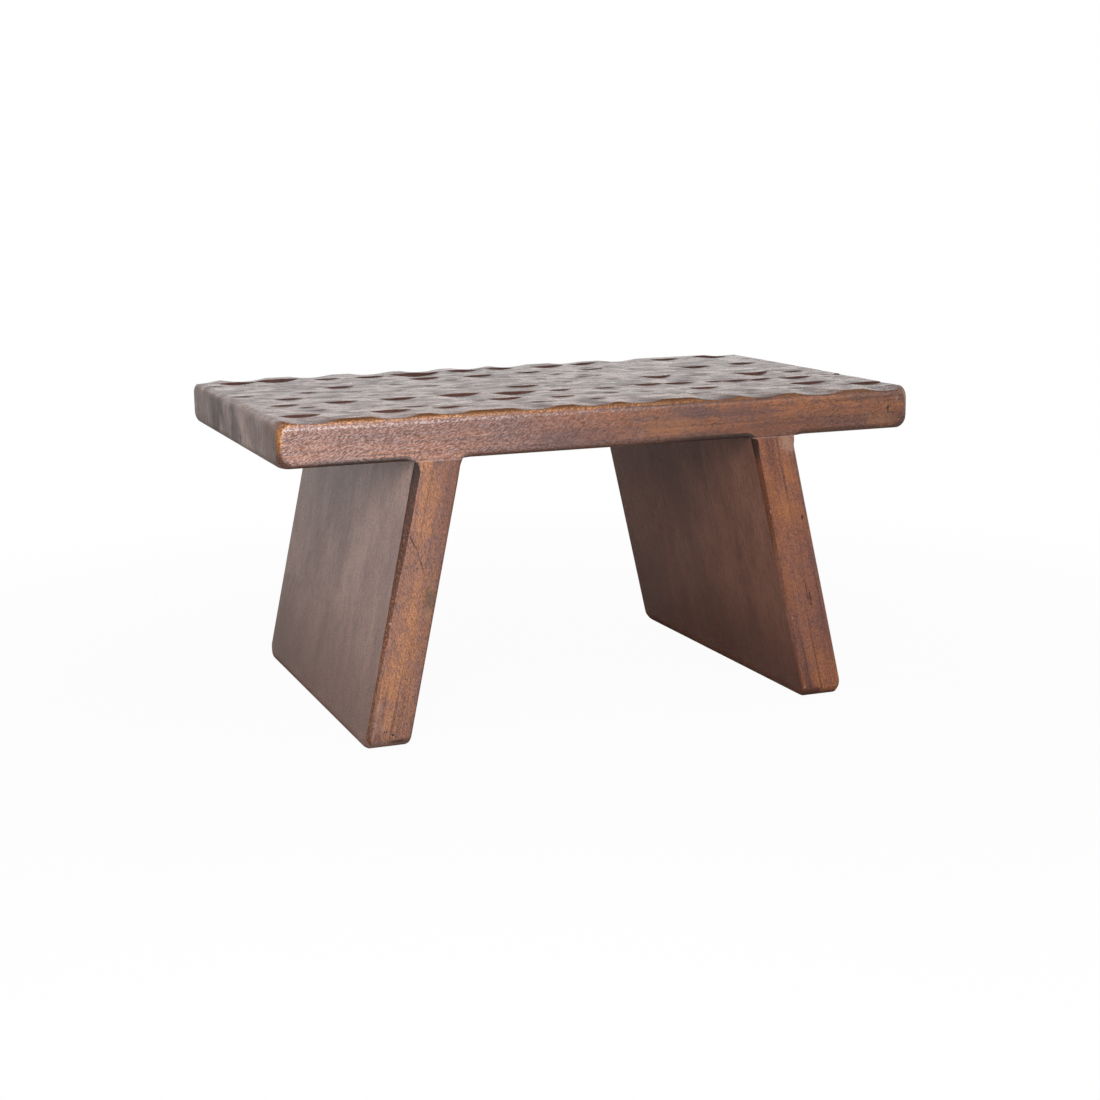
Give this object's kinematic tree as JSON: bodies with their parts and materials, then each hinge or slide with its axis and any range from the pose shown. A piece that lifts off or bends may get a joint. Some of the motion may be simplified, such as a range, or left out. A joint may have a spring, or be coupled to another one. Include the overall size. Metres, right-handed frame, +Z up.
{
  "type": "low wooden stool",
  "caption": "Low rectangular wooden stool: a thick plank seat with a hand-gouged top on two slab legs that splay outwards.",
  "frame": {"origin": "on the floor, under the middle of the seat", "axes": "+X along the seat, +Y from the front to the back, +Z up"},
  "size_m": [0.5, 0.3076, 0.2425],
  "materials": {
    "seat_wood": "satin dark stain, gouged top",
    "leg_wood": "satin dark stain",
    "dowel_wood": "bare"
  },
  "bodies": {
    "root": {"seat_front_board": "seat_wood", "seat_middle_board": "seat_wood", "seat_back_board": "seat_wood", "left_leg_front_board": "leg_wood", "left_leg_middle_board": "leg_wood", "left_leg_back_board": "leg_wood", "right_leg_front_board": "leg_wood", "right_leg_middle_board": "leg_wood", "right_leg_back_board": "leg_wood", "left_leg_front_dowel": "dowel_wood", "left_leg_middle_dowel": "dowel_wood", "left_leg_back_dowel": "dowel_wood", "right_leg_front_dowel": "dowel_wood", "right_leg_middle_dowel": "dowel_wood", "right_leg_back_dowel": "dowel_wood"}
  },
  "joints": []
}
